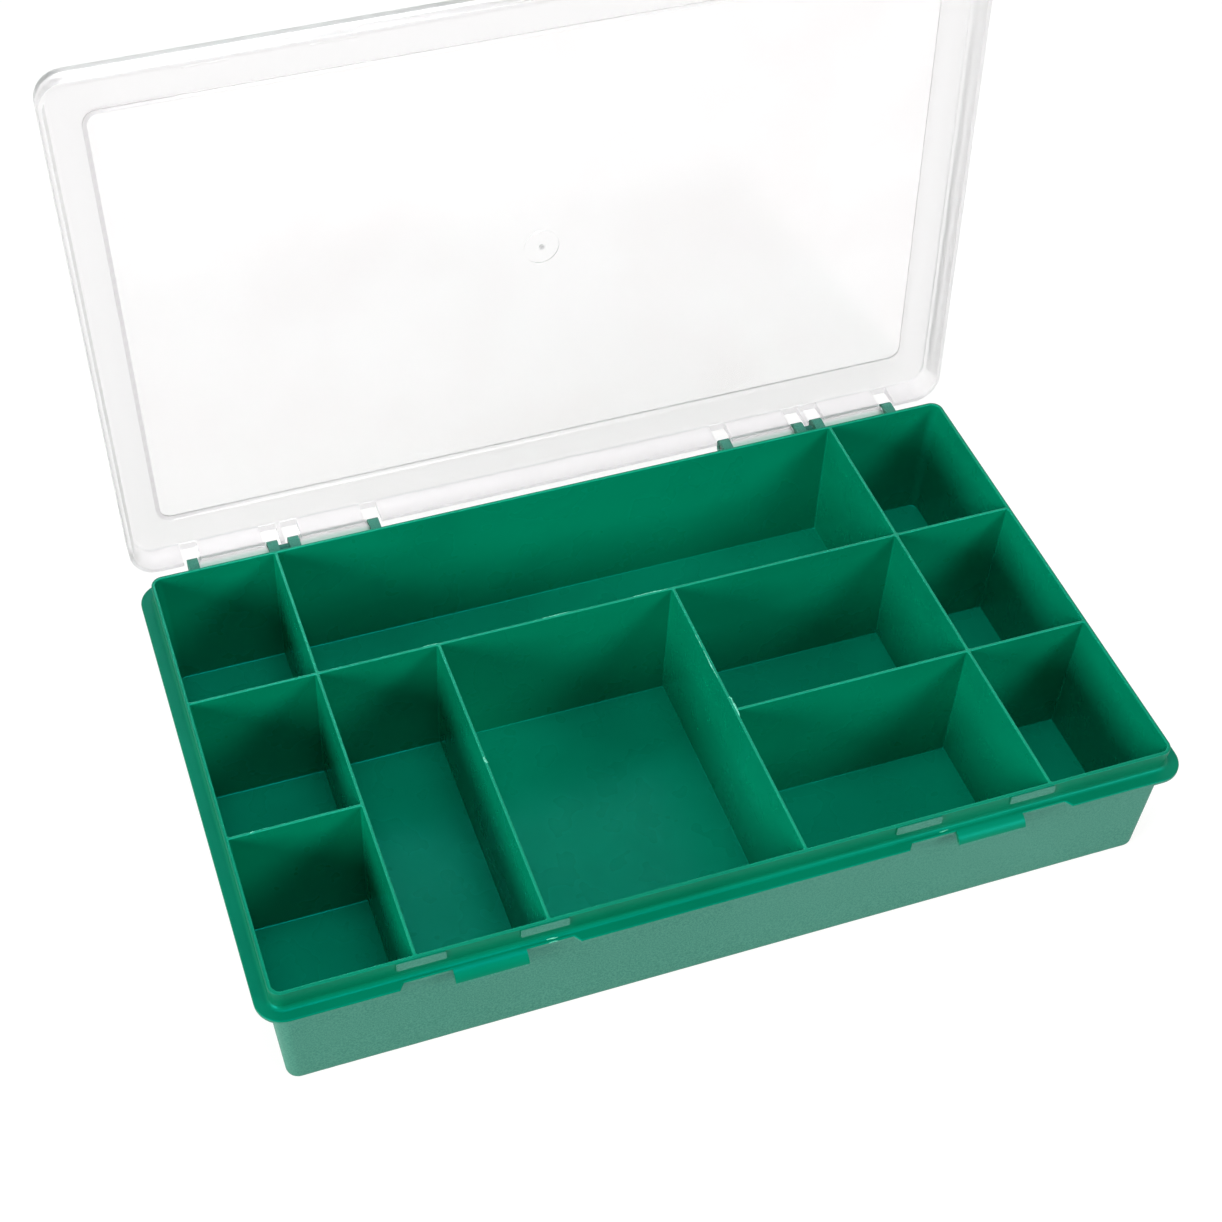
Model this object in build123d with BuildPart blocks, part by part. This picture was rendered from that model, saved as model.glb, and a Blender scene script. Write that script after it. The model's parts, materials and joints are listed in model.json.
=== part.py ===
from build123d import *
import os
from math import cos, radians, sin, tan

os.makedirs("parts", exist_ok=True)

# Compartment storage box: one moulded tray and one moulded lid, the lid shown open.
# Millimetres. The origin is the middle of the tray's footprint on the table, X runs along
# the long side, Y towards the hinge, Z up.

# Tray shell
tray_length = 290.0
tray_width = 171.8
tray_height = 50.0
end_wall_lean = 1.8
long_wall_lean = 1.1
outer_corner_radius = 4.0
bottom_edge_radius = 2.5
rim_wall = 1.2
rim_edge_radius = 0.25
floor_thickness = 1.6

# Compartments
wall_draft = 2.4
divider_thickness = 1.0
divider_draft = 1.0
pocket_corner_radius = 0.6
pocket_foot_radius = 0.4
tray_inner_corner_radius = 2.8
first_divider_x = -101.9
second_divider_x = -61.2
third_divider_x = 20.3
fourth_divider_x = 101.9
back_divider_y = 28.2
front_divider_y = -27.5

# Flange that the closed lid stands over
flange_drop = 7.5
flange_thickness = 1.5
flange_overhang = 4.5
flange_corner_radius = 9.0
flange_edge_radius = 0.4
cove_radius = 1.4

# Front catch zones: a finger tab between two notches, with snap pads on the rim above.
# The photographed pads don't stand evenly over the tabs, so each has its own place.
catch_zone_x = 80.7
catch_shift = 0.3
notch_half_inner = 26.0
notch_half_outer = 27.7
notch_depth = 2.3
tab_width = 22.6
tab_bend_radius = 4.0
tab_bend_turn = 90.0
tab_thickness = 1.5
tab_root_gap = 1.7
pad_length = 15.0
pad_height = 3.2
pad_top_drop = 0.3
pad_proud = 0.6
pad_corner_radius = 0.5
pad_x = [-100.4, -62.7, 57.3, 95.6]

# Hinge
hinge_behind_rim = 7.5
lug_x = [65.4, 93.8, 101.2, 129.0]
lug_width = 3.6
lug_eye_radius = 3.4
lug_root_top_drop = 4.6
lug_root_bottom_drop = 13.5
lug_root_bury = 0.7
pin_radius = 1.5
pin_clearance = 0.05
pin_end_gap = 0.4
bridge_radius = 1.5
bar_radius = 2.5
bar_end_gap = 0.4
bar_web_top = 2.5

# Lid, in its own measures: across is the distance from the hinge line towards the free edge,
# height is measured up from the hinge line with the lid closed
open_angle = 95.0
lid_side_inset = 0.1
skirt_back_across = 1.8
skirt_front_inset = 0.3
skirt_gap = 0.3
skirt_thickness = 1.3
skirt_inner_lean = 1.5
lid_height = 10.0
lid_wall = 1.1
lid_top_edge_radius = 1.2
cavity_corner_radius = 7.7
cavity_root_radius = 0.8
panel_side_border = 13.2
panel_back_border = 15.3
panel_corner_radius = 4.0
panel_step = 0.7
window_width = 6.0
bead_inset_from_rim = 1.1
bead_low = 1.5
bead_high = 3.3
bead_length = 14.0
gate_x = 0.6
gate_off_middle = 1.2
gate_dish_radius = 6.0
gate_dish_depth = 0.25
gate_nub_radius = 0.7

# Sizes that follow from the ones above
rim_half_length = tray_length / 2
rim_half_width = tray_width / 2
flange_top = tray_height - flange_drop
hinge_y = rim_half_width + hinge_behind_rim
tab_root_y = -rim_half_width - tab_root_gap
catch_zones = [catch_shift - catch_zone_x, catch_shift + catch_zone_x]
hinge_z = flange_top
floor_wall_shift = (tray_height - floor_thickness) * tan(radians(wall_draft))
floor_divider_shift = (tray_height - floor_thickness) * tan(radians(divider_draft))
lid_half_length = rim_half_length + flange_overhang - lid_side_inset
skirt_front_across = hinge_y + rim_half_width + flange_overhang - skirt_front_inset
lid_middle_across = (skirt_back_across + skirt_front_across) / 2
lid_depth = skirt_front_across - skirt_back_across
panel_half_length = lid_half_length - panel_side_border
panel_depth = lid_depth - 2 * panel_back_border
gate_across = lid_middle_across + gate_off_middle
cavity_height = lid_height - lid_wall
panel_top = lid_height - panel_step
panel_underside = panel_top - lid_wall

# Each compartment: left, right, front and back wall lines, with True for an outer wall
left_wall = (-rim_half_length + rim_wall, True)
right_wall = (rim_half_length - rim_wall, True)
front_wall = (-rim_half_width + rim_wall, True)
back_wall = (rim_half_width - rim_wall, True)
first = (first_divider_x, False)
second = (second_divider_x, False)
third = (third_divider_x, False)
fourth = (fourth_divider_x, False)
back_divider = (back_divider_y, False)
front_divider = (front_divider_y, False)
compartments = [
    (left_wall, first, back_divider, back_wall),
    (first, fourth, back_divider, back_wall),
    (fourth, right_wall, back_divider, back_wall),
    (left_wall, first, front_divider, back_divider),
    (left_wall, first, front_wall, front_divider),
    (first, second, front_wall, back_divider),
    (second, third, front_wall, back_divider),
    (third, fourth, front_divider, back_divider),
    (third, fourth, front_wall, front_divider),
    (fourth, right_wall, front_divider, back_divider),
    (fourth, right_wall, front_wall, front_divider),
]


def face_line(line, inward, at_floor):
    """Where a compartment's side stands, at the rim or at the floor."""
    place, outer = line
    shift = 0.0 if outer else divider_thickness / 2
    if at_floor:
        shift += floor_wall_shift if outer else floor_divider_shift
    return place + inward * shift


def pocket_outline(sides, at_floor):
    """Middle and size of a compartment, at the rim or at the floor."""
    left = face_line(sides[0], 1, at_floor)
    right = face_line(sides[1], -1, at_floor)
    front = face_line(sides[2], 1, at_floor)
    back = face_line(sides[3], -1, at_floor)
    return (left + right) / 2, (front + back) / 2, right - left, back - front


# The space inside the compartments, made alone so that the tray can be cut with it
with BuildPart() as pockets:
    for sides in compartments:
        for level, at_floor in ((floor_thickness, True), (tray_height, False)):
            middle_x, middle_y, size_x, size_y = pocket_outline(sides, at_floor)
            inside = pocket_outline((left_wall, right_wall, front_wall, back_wall), at_floor)
            with BuildSketch(Plane.XY.offset(level)):
                with Locations((middle_x, middle_y)):
                    RectangleRounded(size_x, size_y, pocket_corner_radius)
                # The tray's own corners are rounder than those between dividers
                RectangleRounded(
                    inside[2], inside[3], tray_inner_corner_radius, mode=Mode.INTERSECT
                )
        loft()
    fillet(pockets.edges().group_by(Axis.Z)[0], pocket_foot_radius)

# Flange, narrowed by a pair of notches beside each finger tab
with BuildPart() as flange:
    with BuildSketch(Plane.XY.offset(flange_top - flange_thickness)):
        RectangleRounded(
            tray_length + 2 * flange_overhang,
            tray_width + 2 * flange_overhang,
            flange_corner_radius,
        )
        flange_front = -rim_half_width - flange_overhang
        for zone_x in catch_zones:
            with BuildLine():
                Polyline(
                    (zone_x - notch_half_outer, flange_front),
                    (zone_x + notch_half_outer, flange_front),
                    (zone_x + notch_half_inner, flange_front + notch_depth),
                    (zone_x - notch_half_inner, flange_front + notch_depth),
                    close=True,
                )
            make_face(mode=Mode.SUBTRACT)
    extrude(amount=flange_thickness)
    fillet(flange.edges(), flange_edge_radius)

# Tray
with BuildPart() as tray:
    # Shell, a little narrower at the table than at the rim
    with BuildSketch(Plane.XY):
        RectangleRounded(
            tray_length - 2 * end_wall_lean,
            tray_width - 2 * long_wall_lean,
            outer_corner_radius,
        )
    with BuildSketch(Plane.XY.offset(tray_height)):
        RectangleRounded(tray_length, tray_width, outer_corner_radius)
    loft()
    fillet(tray.edges().group_by(Axis.Z)[0], bottom_edge_radius)

    # Flange, with a cove where it meets the rim
    add(flange.part)
    cove_edges = [
        edge
        for edge in tray.edges().filter_by_position(Axis.Z, flange_top, flange_top)
        if abs(edge.center().X) < rim_half_length + rim_wall
        and abs(edge.center().Y) < rim_half_width + rim_wall
    ]
    fillet(cove_edges, cove_radius)

    # Finger tabs that bend down over the front wall
    for zone_x in catch_zones:
        bend_z = flange_top - tab_bend_radius
        inner_bend = tab_bend_radius - tab_thickness
        with BuildSketch(Plane.YZ.offset(zone_x - tab_width / 2)):
            with BuildLine():
                CenterArc((tab_root_y, bend_z), tab_bend_radius, 90, tab_bend_turn)
                Line(
                    (tab_root_y - tab_bend_radius, bend_z),
                    (tab_root_y - inner_bend, bend_z),
                )
                CenterArc((tab_root_y, bend_z), inner_bend, 90, tab_bend_turn)
                Line(
                    (tab_root_y, bend_z + inner_bend),
                    (tab_root_y, bend_z + tab_bend_radius),
                )
            make_face()
        extrude(amount=tab_width)

    # Snap pads on the front of the rim
    for pad_place in pad_x:
        pad_top = tray_height - pad_top_drop
        with BuildSketch(Plane.XZ.offset(rim_half_width - rim_wall / 2)):
            with Locations((pad_place, pad_top - pad_height / 2)):
                RectangleRounded(pad_length, pad_height, pad_corner_radius)
        extrude(amount=rim_wall / 2 + pad_proud)

    # Hinge lugs: a root on the back wall and a rounded eye round the hinge line
    for lug_place in [side * x for side in (-1, 1) for x in lug_x]:
        with BuildSketch(Plane.YZ.offset(lug_place - lug_width / 2)):
            with Locations((hinge_y, hinge_z)):
                Circle(lug_eye_radius)
            with BuildLine():
                root_y = rim_half_width - lug_root_bury
                Polyline(
                    (root_y, tray_height - lug_root_top_drop),
                    (hinge_y, hinge_z + lug_eye_radius),
                    (hinge_y, hinge_z - lug_eye_radius),
                    (root_y, tray_height - lug_root_bottom_drop),
                    close=True,
                )
            make_face()
        extrude(amount=lug_width)

    # Bridge between each close pair of lugs
    for side in (-1, 1):
        bridge_length = lug_x[2] - lug_x[1]
        bridge_middle = side * (lug_x[1] + lug_x[2]) / 2
        with BuildSketch(Plane.YZ.offset(bridge_middle - bridge_length / 2)):
            with Locations((hinge_y, hinge_z)):
                Circle(bridge_radius)
            with BuildLine():
                Polyline(
                    (rim_half_width, flange_top),
                    (hinge_y, flange_top),
                    (hinge_y, hinge_z - bridge_radius),
                    (rim_half_width, flange_top - flange_thickness),
                    close=True,
                )
            make_face()
        extrude(amount=bridge_length)

    # Holes for the lid's pins
    for lug_place in [side * x for side in (-1, 1) for x in lug_x]:
        with BuildSketch(Plane.YZ.offset(lug_place - lug_width / 2)):
            with Locations((hinge_y, hinge_z)):
                Circle(pin_radius + pin_clearance)
        extrude(amount=lug_width, mode=Mode.SUBTRACT)

    # Compartments, and a softened edge along the rim and the dividers
    add(pockets.part, mode=Mode.SUBTRACT)
    fillet(tray.faces().sort_by(Axis.Z)[-1].edges(), rim_edge_radius)

tray.part.label = "tray"
export_step(tray.part, "parts/tray.step")

# Plane of the open lid: the sketch's y runs from the free edge to the hinge, and the offset
# is the height above the hinge line that the same place has on the closed lid
lid_lean = radians(open_angle)
lid_plane = Plane(
    origin=(0, hinge_y, hinge_z),
    x_dir=(1, 0, 0),
    z_dir=(0, sin(lid_lean), cos(lid_lean)),
)
lid_up = Axis(lid_plane.origin, lid_plane.z_dir)

# Plane across the hinge line: its x runs towards the free edge, its y up from the closed lid
lid_side_plane = Plane(
    origin=(0, hinge_y, hinge_z),
    x_dir=(0, -cos(lid_lean), sin(lid_lean)),
    z_dir=(-1, 0, 0),
)

# The space inside the lid, which leaves the plate and the skirt
with BuildPart() as hollow:
    with BuildSketch(lid_plane.offset(skirt_gap)):
        with Locations((0, -lid_middle_across)):
            RectangleRounded(
                2 * (lid_half_length - skirt_thickness),
                lid_depth - 2 * skirt_thickness,
                cavity_corner_radius,
            )
    with BuildSketch(lid_plane.offset(cavity_height)):
        with Locations((0, -lid_middle_across)):
            RectangleRounded(
                2 * (lid_half_length - skirt_thickness - skirt_inner_lean),
                lid_depth - 2 * (skirt_thickness + skirt_inner_lean),
                cavity_corner_radius - skirt_inner_lean,
            )
    loft()
    fillet(hollow.faces().sort_by(lid_up)[-1].edges(), cavity_root_radius)

# Lid
with BuildPart() as lid:
    # Plate and skirt as one block
    with BuildSketch(lid_plane.offset(skirt_gap)):
        with Locations((0, -lid_middle_across)):
            RectangleRounded(2 * lid_half_length, lid_depth, flange_corner_radius)
    extrude(amount=lid_height - skirt_gap)
    fillet(lid.faces().sort_by(lid_up)[-1].edges(), lid_top_edge_radius)

    # Inside
    add(hollow.part, mode=Mode.SUBTRACT)

    # Panel, stepped down towards the dividers
    with BuildSketch(lid_plane.offset(panel_underside)):
        with Locations((0, -lid_middle_across)):
            RectangleRounded(
                2 * (panel_half_length + lid_wall),
                panel_depth + 2 * lid_wall,
                panel_corner_radius + lid_wall,
            )
    extrude(amount=lid_wall)
    with BuildSketch(lid_plane.offset(panel_top)):
        with Locations((0, -lid_middle_across)):
            RectangleRounded(2 * panel_half_length, panel_depth, panel_corner_radius)
    extrude(amount=panel_step, mode=Mode.SUBTRACT)

    # Dish with a nub in the middle of the panel, where the mould was filled
    with BuildSketch(lid_plane.offset(panel_top - gate_dish_depth)):
        with Locations((gate_x, -gate_across)):
            Circle(gate_dish_radius)
            Circle(gate_nub_radius, mode=Mode.SUBTRACT)
    extrude(amount=gate_dish_depth, mode=Mode.SUBTRACT)

    # Windows in the back skirt, one over each lug
    with BuildSketch(lid_plane.offset(skirt_gap)):
        window_depth = skirt_thickness + skirt_inner_lean
        for side in (-1, 1):
            for place in lug_x:
                with Locations((side * place, -skirt_back_across - window_depth / 2)):
                    Rectangle(window_width, window_depth)
    extrude(amount=cavity_height - skirt_gap, mode=Mode.SUBTRACT)

    # Beads inside the front skirt, one under each snap pad
    bead_tip_across = hinge_y + rim_half_width + bead_inset_from_rim
    for bead_place in pad_x:
        skirt_inside = skirt_front_across - skirt_thickness / 2
        with BuildSketch(lid_side_plane.offset(-bead_place - bead_length / 2)):
            with BuildLine():
                Polyline(
                    (skirt_inside, bead_low),
                    (bead_tip_across, (bead_low + bead_high) / 2),
                    (skirt_inside, bead_high),
                    close=True,
                )
            make_face()
        extrude(amount=bead_length)

    # Hinge bars between the lugs, each on a web from the back skirt, with a pin at both ends
    for side in (-1, 1):
        for inner, outer in ((lug_x[0], lug_x[1]), (lug_x[2], lug_x[3])):
            bar_start = inner + lug_width / 2 + bar_end_gap
            bar_end = outer - lug_width / 2 - bar_end_gap
            bar_length = bar_end - bar_start
            bar_middle = side * (bar_start + bar_end) / 2
            with BuildSketch(lid_side_plane.offset(-bar_middle - bar_length / 2)):
                Circle(bar_radius)
                with BuildLine():
                    Polyline(
                        (0, skirt_gap),
                        (skirt_back_across + skirt_thickness / 2, skirt_gap),
                        (skirt_back_across + skirt_thickness / 2, bar_web_top),
                        (0, bar_web_top),
                        close=True,
                    )
                make_face()
            extrude(amount=bar_length)
            pin_length = outer - inner + lug_width - 2 * pin_end_gap
            with BuildSketch(lid_side_plane.offset(-bar_middle - pin_length / 2)):
                Circle(pin_radius)
            extrude(amount=pin_length)

lid.part.label = "lid"
export_step(lid.part, "parts/lid.step")
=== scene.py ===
# %% [markdown]
# # A sorting box with a clear lid
# The object is a flat green tray with eleven fixed compartments and a clear lid that stands
# open on its hinge. Both are mouldings of polypropylene, a slightly waxy, slightly see-through
# plastic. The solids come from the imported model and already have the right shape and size, so
# this script gives them their finish, adds the small marks that moulding leaves, and builds
# the table, the light and the camera around them.
#
# Everything is in metres, with the origin at the middle of the tray's footprint, X along the
# long side, Y towards the hinge and Z up.

# %% Load the solids
import json
import math

import bmesh
import bpy
from mathutils import Matrix, Vector


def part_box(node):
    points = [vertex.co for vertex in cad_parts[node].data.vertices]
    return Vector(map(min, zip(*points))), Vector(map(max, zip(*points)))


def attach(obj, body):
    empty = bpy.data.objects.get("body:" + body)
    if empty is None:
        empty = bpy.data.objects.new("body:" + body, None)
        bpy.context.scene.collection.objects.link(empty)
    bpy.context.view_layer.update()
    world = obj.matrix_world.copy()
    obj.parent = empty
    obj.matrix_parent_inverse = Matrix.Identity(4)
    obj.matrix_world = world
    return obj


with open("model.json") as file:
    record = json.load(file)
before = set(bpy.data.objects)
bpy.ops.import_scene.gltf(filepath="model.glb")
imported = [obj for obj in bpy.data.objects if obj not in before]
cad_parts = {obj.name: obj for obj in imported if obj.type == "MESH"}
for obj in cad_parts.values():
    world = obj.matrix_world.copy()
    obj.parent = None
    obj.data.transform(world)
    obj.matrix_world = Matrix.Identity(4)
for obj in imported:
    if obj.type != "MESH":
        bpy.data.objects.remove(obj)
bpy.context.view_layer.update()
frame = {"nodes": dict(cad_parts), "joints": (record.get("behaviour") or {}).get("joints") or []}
tray = frame["nodes"]["tray"]
lid = frame["nodes"]["lid"]
MM = 0.001

# %% [markdown]
# ## Measures that the finish needs
# A finish often changes with the place on a moulding: the outside of this tray was spark
# eroded in the mould and looks dull, and the inside was polished. Both are on one solid, so
# the shader has to know where it is. The solids aren't moved, so their object coordinates are
# plain metres, and a few places and heights are enough to tell the zones apart.

# %% Measures
rim_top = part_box("tray")[1].z
flange_top = rim_top - 7.5 * MM
hinge = next(j for j in frame["joints"] if j["name"] == "lid_hinge")
hinge_y, hinge_z = hinge["pos_m"][1], hinge["pos_m"][2]

# Middle of the outer walls' thickness: its place at the table, and how far it leans out with
# each metre of height
wall_foot_x, wall_foot_y = 142.5 * MM, 83.7 * MM
wall_lean_x, wall_lean_y = 0.039, 0.032
wall_round = 3.4 * MM
floor_middle = 0.8 * MM

# Finger tabs, snap pads and lugs
catch_shift = 0.3 * MM
catch_place = 80.7 * MM
tab_half_width = 11.4 * MM
tab_root = -87.7 * MM
tab_grain_top = flange_top - 2.9 * MM
flange_grain_top = flange_top - 0.35 * MM
pad_face = -86.2 * MM
pad_foot = flange_top + 3.0 * MM
lug_front = 87.4 * MM
lug_foot = flange_top + 0.02 * MM

# The lid's panel and the dimple in it, across being the distance from the hinge line
open_angle = 95.0
panel_half_x = 136.2 * MM
panel_round = 4.0 * MM
panel_middle = 92.65 * MM
panel_half_across = 75.55 * MM
gate_x = 0.6 * MM
gate_across = 93.85 * MM
print("rim at %.1f mm, hinge line at y %.1f mm, z %.1f mm" % (
    rim_top / MM, hinge_y / MM, hinge_z / MM))

# %% [markdown]
# ## A short way to write shader nodes
# Cycles materials are graphs. Wiring each node by hand hides what the finish does, so this
# small helper adds a node, fills its inputs with numbers or with other nodes' outputs, and
# gives back its first output. The materials below then read like a recipe.


# %% Shader helper
class Finish:
    """One material's node graph, written as calls that return sockets."""

    def __init__(self, name):
        self.material = bpy.data.materials.new(name)
        self.material.use_nodes = True
        self.tree = self.material.node_tree
        self.shader = self.tree.nodes["Principled BSDF"]
        self.output = self.tree.nodes["Material Output"]
        place = self.tree.nodes.new("ShaderNodeTexCoord")
        self.place = place.outputs["Object"]
        self.x, self.y, self.z = self.node("SeparateXYZ", {0: self.place}).node.outputs

    def node(self, kind, inputs=(), **settings):
        made = self.tree.nodes.new("ShaderNode" + kind)
        for key, value in settings.items():
            setattr(made, key, value)
        for key, value in dict(inputs).items():
            if isinstance(value, bpy.types.NodeSocket):
                self.tree.links.new(value, made.inputs[key])
            else:
                made.inputs[key].default_value = value
        return made.outputs[0]

    def math(self, operation, a, b=0.0):
        return self.node("Math", {0: a, 1: b}, operation=operation)

    def noise(self, scale, detail=2.0, roughness=0.5, place=None):
        return self.node(
            "TexNoise",
            {"Vector": place or self.place, "Scale": scale, "Detail": detail,
             "Roughness": roughness},
        )

    def over(self, value, low, high, to_low=0.0, to_high=1.0):
        """Take value from low..high to to_low..to_high, smoothly and held at the ends."""
        return self.node(
            "MapRange",
            {"Value": value, "From Min": low, "From Max": high,
             "To Min": to_low, "To Max": to_high},
            interpolation_type="SMOOTHSTEP",
        )

    def blend(self, amount, a, b):
        """Colour a where amount is 0, colour b where it is 1."""
        made = self.tree.nodes.new("ShaderNodeMix")
        made.data_type = "RGBA"
        for index, value in ((0, amount), (6, a), (7, b)):
            if isinstance(value, bpy.types.NodeSocket):
                self.tree.links.new(value, made.inputs[index])
            else:
                made.inputs[index].default_value = value
        return made.outputs[2]

    def bump(self, height, strength, distance, under=None):
        inputs = {"Height": height, "Strength": strength, "Distance": distance}
        if under is not None:
            inputs["Normal"] = under
        return self.node("Bump", inputs)

    def give(self, **inputs):
        for key, value in inputs.items():
            name = key.replace("_", " ")
            if isinstance(value, bpy.types.NodeSocket):
                self.tree.links.new(value, self.shader.inputs[name])
            else:
                self.shader.inputs[name].default_value = value


def colour(red, green, blue):
    """A colour as seen on screen, 0 to 255, turned into the linear light a shader takes."""
    values = []
    for part in (red, green, blue):
        part /= 255
        values.append(part / 12.92 if part <= 0.04045 else ((part + 0.055) / 1.055) ** 2.4)
    return (*values, 1.0)


print("shader helper ready")

# %% [markdown]
# ## Green polypropylene
# The tray is one moulding, dyed right through. Three things make it look like plastic and not
# like paint: the pigment isn't perfectly even, so large soft clouds run through it; the polished
# inside has a satin gloss with faint flow ripples; and the outside below the flange carries a
# fine eroded grain that scatters light and looks greyer. The grain could be modelled, but it is
# under half a millimetre, so bump from noise is the right tool, and only where the mask for
# the grain says so. What is outside but not eroded, such as the rim's outside and the finger
# tabs' bends, is smooth, darker and less glossy than the inside. The top of the rim and the
# dividers is painted paler: a painted highlight for the light that thin edges let through and
# for their shine. Plain plastic mirrors white light unchanged, but this green holds almost no
# red even where it shines, so its reflections are tinted to match.

# %% Green plastic for the tray
green = Finish("green_polypropylene")
clouds = green.noise(14.0, 3.0, 0.55)
streaks = green.noise(
    30.0, 2.0, 0.5,
    place=green.node("Mapping", {"Vector": green.place, "Scale": (1.0, 1.0, 4.0)}),
)

# How far a place is outside the middle of the outer walls, which lean with height and meet
# in round corners
past_end = green.math(
    "SUBTRACT", green.math("ABSOLUTE", green.x),
    green.math("ADD", wall_foot_x - wall_round,
               green.math("MULTIPLY", green.z, wall_lean_x)))
past_side = green.math(
    "SUBTRACT", green.math("ABSOLUTE", green.y),
    green.math("ADD", wall_foot_y - wall_round,
               green.math("MULTIPLY", green.z, wall_lean_y)))
past_end = green.math("MAXIMUM", past_end, 0.0)
past_side = green.math("MAXIMUM", past_side, 0.0)
beyond_wall = green.math("SUBTRACT", green.math("SQRT", green.math(
    "ADD", green.math("MULTIPLY", past_end, past_end),
    green.math("MULTIPLY", past_side, past_side))), wall_round)
below_floor = green.math("SUBTRACT", floor_middle, green.z)
beyond = green.math("MAXIMUM", beyond_wall, below_floor)
outside = green.math("GREATER_THAN", beyond, 0.0)

# The grain reaches up to the flange's top edge, but leaves the finger tabs' bends smooth. The
# snap pads and the lugs carry it too
from_zone = green.math(
    "ABSOLUTE", green.math("SUBTRACT", green.math(
        "ABSOLUTE", green.math("SUBTRACT", green.x, catch_shift)), catch_place))
on_tab = green.math("MULTIPLY", green.math("LESS_THAN", from_zone, tab_half_width),
                    green.math("LESS_THAN", green.y, tab_root))
grain_top = green.node("Mix", {0: on_tab, 2: flange_grain_top, 3: tab_grain_top},
                       data_type="FLOAT")
below_grain_top = green.math("LESS_THAN", green.z, grain_top)
on_pad = green.math("MULTIPLY", green.math("LESS_THAN", green.y, pad_face),
                    green.math("GREATER_THAN", green.z, pad_foot))
on_lug = green.math("MULTIPLY", green.math("GREATER_THAN", green.y, lug_front),
                    green.math("GREATER_THAN", green.z, lug_foot))
eroded = green.math("MAXIMUM", green.math("MULTIPLY", outside, below_grain_top),
                    green.math("MAXIMUM", on_pad, on_lug))

# Colour of the smooth faces, inside and outside, with a painted highlight along the top edges
in_cloud = green.over(clouds, 0.35, 0.65)
inner = green.blend(in_cloud, colour(0, 118, 84), colour(0, 128, 92))
inner = green.blend(green.over(streaks, 0.45, 0.75, 0.0, 0.16), inner, colour(0, 134, 100))
outer = green.blend(in_cloud, colour(0, 97, 66), colour(0, 106, 73))
smooth = green.blend(outside, inner, outer)
# Painted highlight: a paler strip along the top edges, stronger on the dividers than on the outer
# rim
on_rim = green.over(beyond, -2.0 * MM, -1.0 * MM)
edge_highlight_mask = green.over(green.z, rim_top - 0.3 * MM, rim_top - 0.02 * MM)
edge_highlight_share = green.node("Mix", {0: on_rim, 2: 0.18, 3: 0.05}, data_type="FLOAT")
smooth = green.blend(green.math("MULTIPLY", edge_highlight_mask, edge_highlight_share), smooth, colour(60, 170, 134))

# Colour of the eroded faces
grain = green.noise(1900.0, 2.0, 0.6)
dull = green.blend(green.over(grain, 0.3, 0.7), colour(50, 106, 87), colour(71, 126, 106))
dull = green.blend(green.over(clouds, 0.4, 0.7, 0.0, 0.3), dull, colour(75, 129, 110))

# Gloss and relief
scuffs = green.noise(90.0, 2.0, 0.5)
gloss = green.over(scuffs, 0.35, 0.75, 0.27, 0.31)
roughness = green.node("Mix", {0: outside, 2: gloss, 3: 0.42}, data_type="FLOAT")
roughness = green.node("Mix", {0: eroded, 2: roughness, 3: 0.62}, data_type="FLOAT")
ripples = green.bump(green.noise(35.0, 1.0), 0.06, 0.3 * MM)
grain_height = green.math("MULTIPLY", grain, eroded)
surface = green.bump(grain_height, 0.6, 0.12 * MM, under=ripples)
green.give(
    Base_Color=green.blend(eroded, smooth, dull),
    Roughness=roughness,
    Normal=surface,
    IOR=1.49,
    Specular_Tint=(0.0, 1.0, 0.92, 1.0),
)
print("green finish:", len(green.tree.nodes), "nodes")

# %% [markdown]
# ## Clear polypropylene
# The lid is undyed. It isn't as clear as glass: light goes through, bends a little and picks up
# a slight milkiness. Only the panel was polished in the mould. The border round it is finely
# frosted and looks a shade greyer. The step between the two draws a soft grey line by its
# shape, and on the left, where that line is stronger, grey is added to it as painted shade.
# In the photo the hinge bars are green at their foot, where the tray shows through them. The
# shader blurs that away, so the green is painted there instead. The shader is a transmitting
# one whose roughness and tint follow these zones. The lid is modelled open, so the zones are
# measured in its own directions, across from the hinge and along it.

# %% Clear plastic for the lid
clear = Finish("clear_polypropylene")
haze = clear.noise(25.0, 3.0, 0.5)
wipes = clear.noise(
    120.0, 3.0, 0.6,
    place=clear.node("Mapping", {"Vector": clear.place, "Scale": (1.0, 1.0, 0.12),
                                 "Rotation": (0.0, 0.5, 0.0)}),
)

# How far a place is outside the panel's rounded outline, negative inside it
opened = math.radians(open_angle)
rise = clear.math("MULTIPLY", clear.math("SUBTRACT", clear.z, hinge_z), math.sin(opened))
back = clear.math("MULTIPLY", clear.math("SUBTRACT", clear.y, hinge_y), -math.cos(opened))
lid_across = clear.math("ADD", rise, back)
off_side = clear.math("SUBTRACT", clear.math("ABSOLUTE", clear.x), panel_half_x - panel_round)
off_back = clear.math(
    "SUBTRACT", clear.math("ABSOLUTE", clear.math("SUBTRACT", lid_across, panel_middle)),
    panel_half_across - panel_round)
past_x = clear.math("MAXIMUM", off_side, 0.0)
past_across = clear.math("MAXIMUM", off_back, 0.0)
outside_panel = clear.math("SUBTRACT", clear.math("SQRT", clear.math(
    "ADD", clear.math("MULTIPLY", past_x, past_x),
    clear.math("MULTIPLY", past_across, past_across))), panel_round)
frosted = clear.over(outside_panel, -0.2 * MM, 0.2 * MM)
step_line = clear.over(clear.math("ABSOLUTE", clear.math(
    "SUBTRACT", outside_panel, 0.5 * MM)), 0.4 * MM, 0.9 * MM, 1.0, 0.0)

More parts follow.
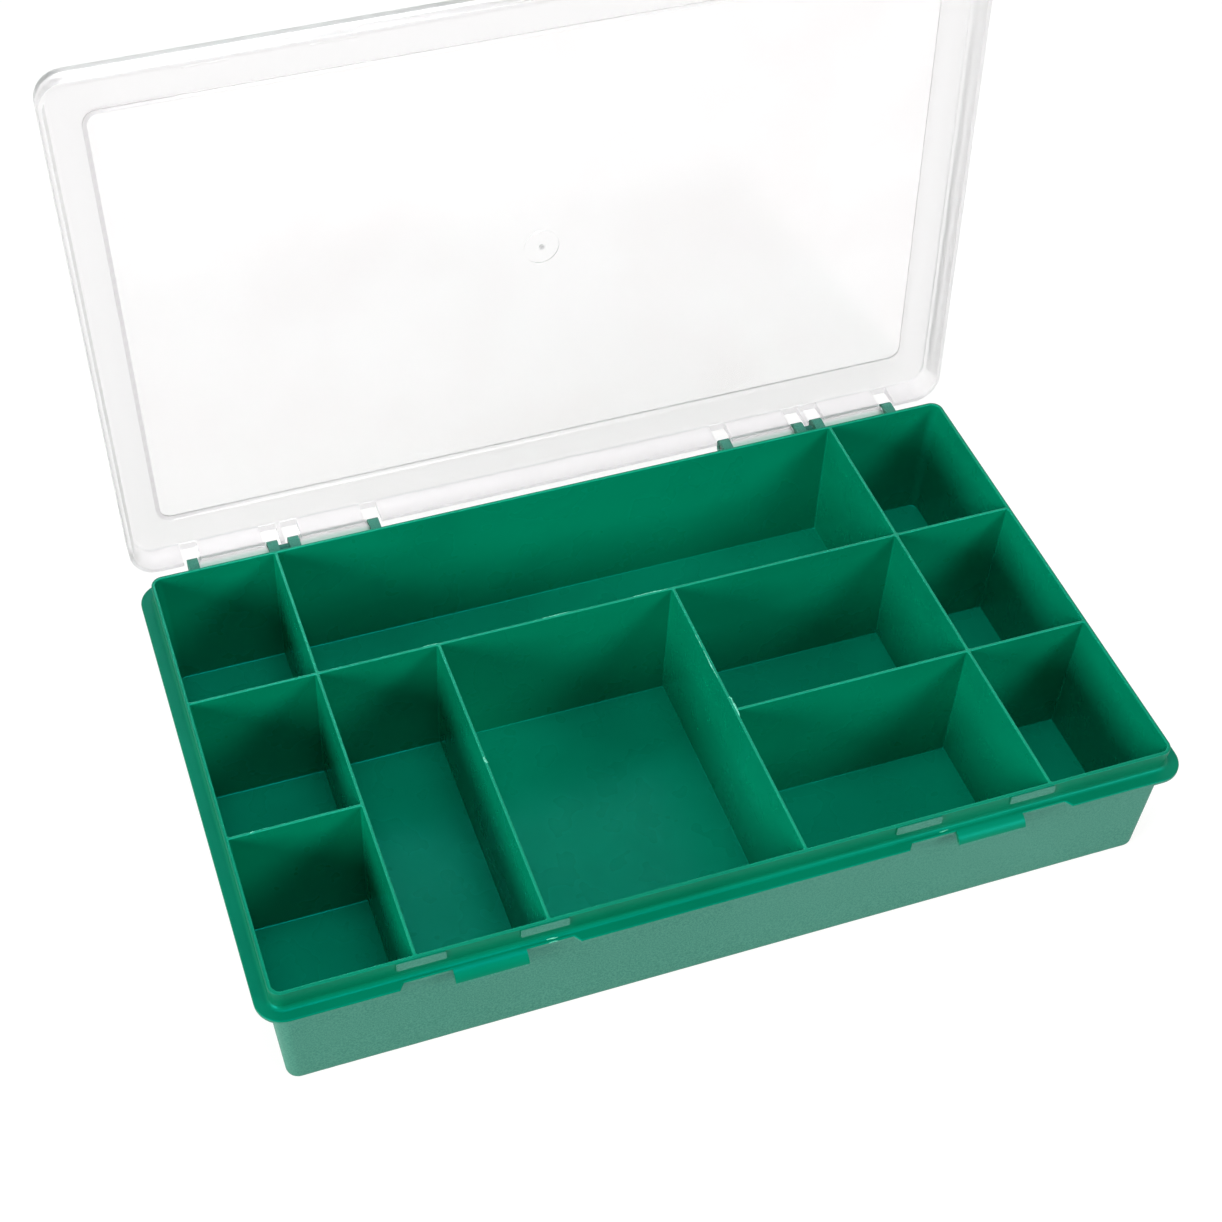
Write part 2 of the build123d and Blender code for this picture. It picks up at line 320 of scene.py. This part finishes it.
# Roughness: the bars and the skirt's edge above them scatter more than the thin plate
near_hinge = clear.over(clear.z, hinge_z + 1.2 * MM, hinge_z + 4.5 * MM, 1.0, 0.0)
plate_gloss = clear.over(wipes, 0.4, 0.75, 0.14, 0.2)
roughness = clear.node("Mix", {0: frosted, 2: plate_gloss, 3: 0.28}, data_type="FLOAT")
roughness = clear.node("Mix", {0: step_line, 2: roughness, 3: 0.42}, data_type="FLOAT")
roughness = clear.node("Mix", {0: near_hinge, 2: roughness, 3: 0.6}, data_type="FLOAT")

# Tint: the haze, the frosted border, painted shade along the step on the left, a grey near the
# hinge, and the bars' foot painted green where the tray shows through them
tint = clear.blend(clear.over(haze, 0.35, 0.7), colour(252, 251, 251), colour(250, 248, 248))
tint = clear.blend(frosted, tint, colour(247, 246, 246))
# Painted shade: grey along the step, strongest on the left and none right of x = -95 mm
step_shade_share = clear.over(clear.x, -125.0 * MM, -95.0 * MM, 0.7, 0.0)
tint = clear.blend(clear.math("MULTIPLY", step_line, step_shade_share), tint, colour(219, 216, 218))
tint = clear.blend(near_hinge, tint, colour(241, 239, 240))
bar_foot = clear.over(clear.y, hinge_y - 1.7 * MM, hinge_y + 0.4 * MM, 0.8, 0.0)
tint = clear.blend(bar_foot, tint, colour(70, 165, 135))

# A small grey dot painted at the dimple where the plastic was let into the mould
from_gate_x = clear.math("SUBTRACT", clear.x, gate_x)
from_gate_across = clear.math("SUBTRACT", lid_across, gate_across)
from_gate = clear.math("SQRT", clear.math(
    "ADD", clear.math("MULTIPLY", from_gate_x, from_gate_x),
    clear.math("MULTIPLY", from_gate_across, from_gate_across)))
gate_dot = clear.over(from_gate, 0.3 * MM, 1.3 * MM, 0.6, 0.0)
tint = clear.blend(gate_dot, tint, colour(150, 150, 152))
clear.give(
    Base_Color=tint,
    Roughness=roughness,
    Normal=clear.bump(clear.noise(12.0, 1.0), 0.02, 0.2 * MM),
    IOR=1.45,
    Transmission_Weight=0.95,
)
print("clear finish:", len(clear.tree.nodes), "nodes")

# %% [markdown]
# ## Finish on the solids
# Each solid takes one material, because each is one moulding of one plastic. The zones lie
# inside the materials, so the solids' meshes needn't be cut.


# %% Dress the solids
def dress(node, material):
    node.data.materials.clear()
    node.data.materials.append(material)


dress(tray, green.material)
dress(lid, clear.material)
print("dressed:", tray.name, lid.name)

# %% [markdown]
# ## Finish of the flash
# Flash is the little plastic that creeps out between two parts of a mould. It is so thin that
# light goes through it and its edges glint, so it is painted paler than the moulding it sits on,
# a painted highlight for that light. The beads below are pieces of their own, so they take a
# material of their own instead of another mask.

# %% Pale plastic for the flash
flash = Finish("flash_painted_highlight")
flakes = flash.noise(700.0, 2.0, 0.6)
# Painted highlight: the flash is coloured paler than the tray, for the light through it and its
# glints
flash.give(
    Base_Color=flash.blend(flash.over(flakes, 0.35, 0.65), colour(62, 172, 138),
                           colour(110, 204, 174)),
    Roughness=flash.over(flakes, 0.3, 0.7, 0.22, 0.4),
    Normal=flash.bump(flakes, 0.4, 0.1 * MM),
    IOR=1.49,
)
print("flash finish:", len(flash.tree.nodes), "nodes")

# %% [markdown]
# ## Marks that moulding leaves
# The flash stands as thin raised lines along the top edges of the dividers and in the notches
# beside the finger tabs, with small steps where one insert of the mould ends. All of it is
# under half a millimetre high, but it catches the light, and a moulding without any looks
# drawn. Bump can't break an outline, so each mark is a low bead of real mesh: a half round
# that follows a short line, swells unevenly and thins out at both ends.


# %% Beads of flash
BEAD_SINK = 0.08
BEAD_WANDER = 0.06


def bead(name, start, end, width, height, phase=0.0, blunt=0.35, sections=18, around=8):
    """A half-round bead from start to end, in millimetres, sunk a little into what carries it."""
    start, end = Vector(start) * MM, Vector(end) * MM
    along = (end - start).normalized()
    across = along.cross(Vector((0.0, 0.0, 1.0))).normalized()
    sunk = Vector((0.0, 0.0, -BEAD_SINK * MM))
    points, faces = [], []
    for section in range(sections + 1):
        t = section / sections
        swell = max(math.sin(math.pi * t), 0.02) ** blunt
        swell *= 0.85 + 0.15 * math.sin(11.0 * t + phase)
        wander = BEAD_WANDER * MM * math.sin(7.0 * t + 2.0 * phase)
        middle = start.lerp(end, t) + across * wander
        rise = (height + BEAD_SINK) * MM * swell
        for step in range(around):
            turn = math.pi * step / (around - 1)
            points.append(middle + sunk + across * (width / 2 * MM * swell * math.cos(turn))
                          + Vector((0.0, 0.0, rise * math.sin(turn))))
    for section in range(sections):
        for step in range(around):
            a, b = section * around + step, section * around + (step + 1) % around
            faces.append((a, b, b + around, a + around))
    faces.append(tuple(reversed(range(around))))
    faces.append(tuple(range(sections * around, (sections + 1) * around)))
    mesh = bpy.data.meshes.new(name)
    mesh.from_pydata([tuple(p) for p in points], [], faces)
    shape = bmesh.new()
    shape.from_mesh(mesh)
    bmesh.ops.recalc_face_normals(shape, faces=shape.faces)
    shape.to_mesh(mesh)
    shape.free()
    mesh.polygons.foreach_set("use_smooth", [True] * len(mesh.polygons))
    piece = bpy.data.objects.new(name, mesh)
    bpy.context.scene.collection.objects.link(piece)
    mesh.materials.append(flash.material)
    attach(piece, "tray")
    return piece


rim = rim_top / MM
ledge = flange_top / MM
beads = [
    bead("flash_third_divider_back", (19.9, 6.4, rim), (19.9, 0.4, rim), 0.3, 0.14, 0.4),
    bead("flash_third_divider_middle", (19.8, -1.0, rim), (19.9, -13.4, rim), 0.45, 0.2, 1.9),
    bead("flash_third_divider_front", (20.9, -22.4, rim), (20.7, -30.6, rim), 0.8, 0.28, 3.1),
    bead("step_third_divider", (20.4, -22.1, rim), (21.1, -23.0, rim), 0.7, 0.36, 0.8, 0.12),
    bead("step_second_divider", (-61.5, -21.4, rim), (-61.0, -23.8, rim), 1.0, 0.38, 2.2, 0.12),
    bead("nub_front_divider", (-137.0, -27.4, rim), (-135.8, -27.4, rim), 0.6, 0.3, 0.2, 0.3),
    bead("flash_back_divider_left", (-66.5, 28.6, rim), (-61.0, 28.6, rim), 0.3, 0.14, 1.1),
    bead("flash_back_divider_middle", (-25.5, 28.6, rim), (-15.9, 28.6, rim), 0.34, 0.16, 2.6),
    bead("flash_back_divider_right", (6.0, 28.5, rim), (19.0, 28.4, rim), 0.4, 0.15, 0.9),
    bead("rib_left_notch", (-62.6, -86.9, ledge), (-58.9, -87.0, ledge), 0.5, 0.3, 1.4),
    bead("rib_left_notch_low", (-62.3, -88.1, ledge), (-59.4, -88.2, ledge), 0.4, 0.2, 0.3),
    bead("rib_right_notch", (64.4, -86.9, ledge), (67.6, -86.9, ledge), 0.45, 0.25, 2.8),
]
print("beads:", len(beads))

# %% [markdown]
# ## Table
# The photograph is a packshot on plain white. A white floor that receives a soft shadow keeps
# the box standing on something. Part of its white is a light of its own that only the camera,
# reflections and see-through plastic can see, so it doesn't brighten the object. Near the box
# a fifth of the floor is left plain, which is where the shadow shows. Far off all of it glows,
# so the floor's edge melts into the background.

# %% Floor
floor_mesh = bpy.data.meshes.new("floor")
reach = 6.0
floor_mesh.from_pydata(
    [(-reach, -reach, 0.0), (reach, -reach, 0.0), (reach, reach, 0.0), (-reach, reach, 0.0)],
    [], [(0, 1, 2, 3)])
floor = bpy.data.objects.new("floor", floor_mesh)
bpy.context.scene.collection.objects.link(floor)
white = Finish("white_table")
paper = white.noise(8.0, 3.0)
white.give(
    Base_Color=white.blend(paper, colour(236, 236, 236), colour(242, 242, 242)),
    Roughness=0.9,
    Specular_IOR_Level=0.0,
)
light_path = white.tree.nodes.new("ShaderNodeLightPath")
seen = white.math("MAXIMUM", light_path.outputs["Is Camera Ray"],
                  white.math("MAXIMUM", light_path.outputs["Is Glossy Ray"],
                             light_path.outputs["Is Transmission Ray"]))
from_middle = white.node("VectorMath", {0: white.place}, operation="LENGTH")
from_middle = from_middle.node.outputs["Value"]
near, far = 0.5, 2.2
glow = white.node("Emission", {
    "Color": (1.0, 1.0, 0.985, 1.0),
    "Strength": white.over(from_middle, near, far, 1.1, 1.0)})
own_light = white.over(from_middle, near, far, 0.8, 1.0)
both = white.node("MixShader", {0: white.math("MULTIPLY", seen, own_light),
                                1: white.shader.outputs[0], 2: glow})
white.tree.links.new(both, white.output.inputs["Surface"])
floor_mesh.materials.append(white.material)
print("floor:", 2 * reach, "m wide")

# %% [markdown]
# ## Background
# The world is white for the camera, for reflections and through the clear lid, and gives only
# a tenth of that as light, so that the lamps keep shaping the shadows.

# %% World
world = bpy.data.worlds.new("studio")
bpy.context.scene.world = world
world.use_nodes = True
sky = world.node_tree
background = sky.nodes["Background"]
path = sky.nodes.new("ShaderNodeLightPath")


def either(a, b):
    made = sky.nodes.new("ShaderNodeMath")
    made.operation = "MAXIMUM"
    sky.links.new(a, made.inputs[0])
    sky.links.new(b, made.inputs[1])
    return made.outputs[0]


shown = either(path.outputs["Is Camera Ray"],
               either(path.outputs["Is Glossy Ray"], path.outputs["Is Transmission Ray"]))
strength = sky.nodes.new("ShaderNodeMapRange")
sky.links.new(shown, strength.inputs["Value"])
strength.inputs["To Min"].default_value = 0.1
strength.inputs["To Max"].default_value = 1.0
background.inputs["Color"].default_value = (1.0, 1.0, 1.0, 1.0)
sky.links.new(strength.outputs[0], background.inputs["Strength"])
print("world:", world.name)

# %% [markdown]
# ## Studio light
# The shadows inside the compartments tell where the lamps were. On each back wall one soft
# shadow falls from the left wall's top edge and another from the right wall's, so there was a
# softbox on either side, a low strong one well to the left and a weaker one to the right of
# the camera. The floors are lit although neither of these reaches them, so a third hung
# overhead, a little bluer than the others. A weak fourth behind the box only matters when it
# is seen from the back. All four stand at the same distance, so their powers can be compared.


# %% Lamps
LAMP_DISTANCE = 1.4


def softbox(name, azimuth, elevation, size, power, tint=(1.0, 1.0, 1.0)):
    """A square lamp aimed at the tray; azimuth 0 is in front, 90 to the right."""
    lamp = bpy.data.lights.new(name, "AREA")
    lamp.shape = "SQUARE"
    lamp.size = size
    lamp.energy = power
    lamp.color = tint
    holder = bpy.data.objects.new(name, lamp)
    bpy.context.scene.collection.objects.link(holder)
    turn, rise = math.radians(azimuth), math.radians(elevation)
    away = Vector((math.sin(turn) * math.cos(rise), -math.cos(turn) * math.cos(rise),
                   math.sin(rise)))
    holder.location = away * LAMP_DISTANCE + Vector((0.0, 0.0, rim_top))
    holder.rotation_euler = (-away).to_track_quat("-Z", "Y").to_euler()


softbox("left_softbox", -68.0, 20.5, 0.55, 19.1)
softbox("right_softbox", 38.0, 28.0, 0.5, 10.2)
softbox("overhead_softbox", -25.0, 83.0, 0.7, 9.8, (1.0, 1.0, 1.18))
softbox("back_softbox", 180.0, 35.0, 0.5, 4.0)

# %% [markdown]
# ## Camera
# The camera was found from the photograph by matching the straight edges of the box, so it is
# written down as a place, three directions and a focal length in pixels. The optical axis
# doesn't pass through the middle of the frame, which the lens shift takes care of.

# %% Camera
frame_px = 1222.0
focal_px = 2089.53
axis_px = (537.10, 677.36)
right = Vector((0.94946, -0.31382, 0.00667))
down = Vector((-0.23333, -0.71985, -0.65374))
ahead = Vector((0.20996, 0.61914, -0.75669))
eye = Vector((-176.19, -410.96, 557.98)) * MM

camera = bpy.data.cameras.new("camera")
camera.sensor_width = 36.0
camera.lens = camera.sensor_width * focal_px / frame_px
camera.shift_x = (frame_px / 2 - axis_px[0]) / frame_px
camera.shift_y = (axis_px[1] - frame_px / 2) / frame_px
camera_holder = bpy.data.objects.new("camera", camera)
bpy.context.scene.collection.objects.link(camera_holder)
turn = Matrix((right, -down, -ahead)).transposed()
camera_holder.matrix_world = Matrix.Translation(eye) @ turn.to_4x4()
bpy.context.scene.camera = camera_holder
bpy.context.scene.view_settings.view_transform = "Standard"
print("lens %.2f mm, shift %.4f, %.4f" % (camera.lens, camera.shift_x, camera.shift_y))

# %% [markdown]
# ## Last step
# The view layer is brought up to date once everything is in place. Everything added for the
# looks has to stay inside the box of the solids.

# %% Update the scene
bpy.context.view_layer.update()
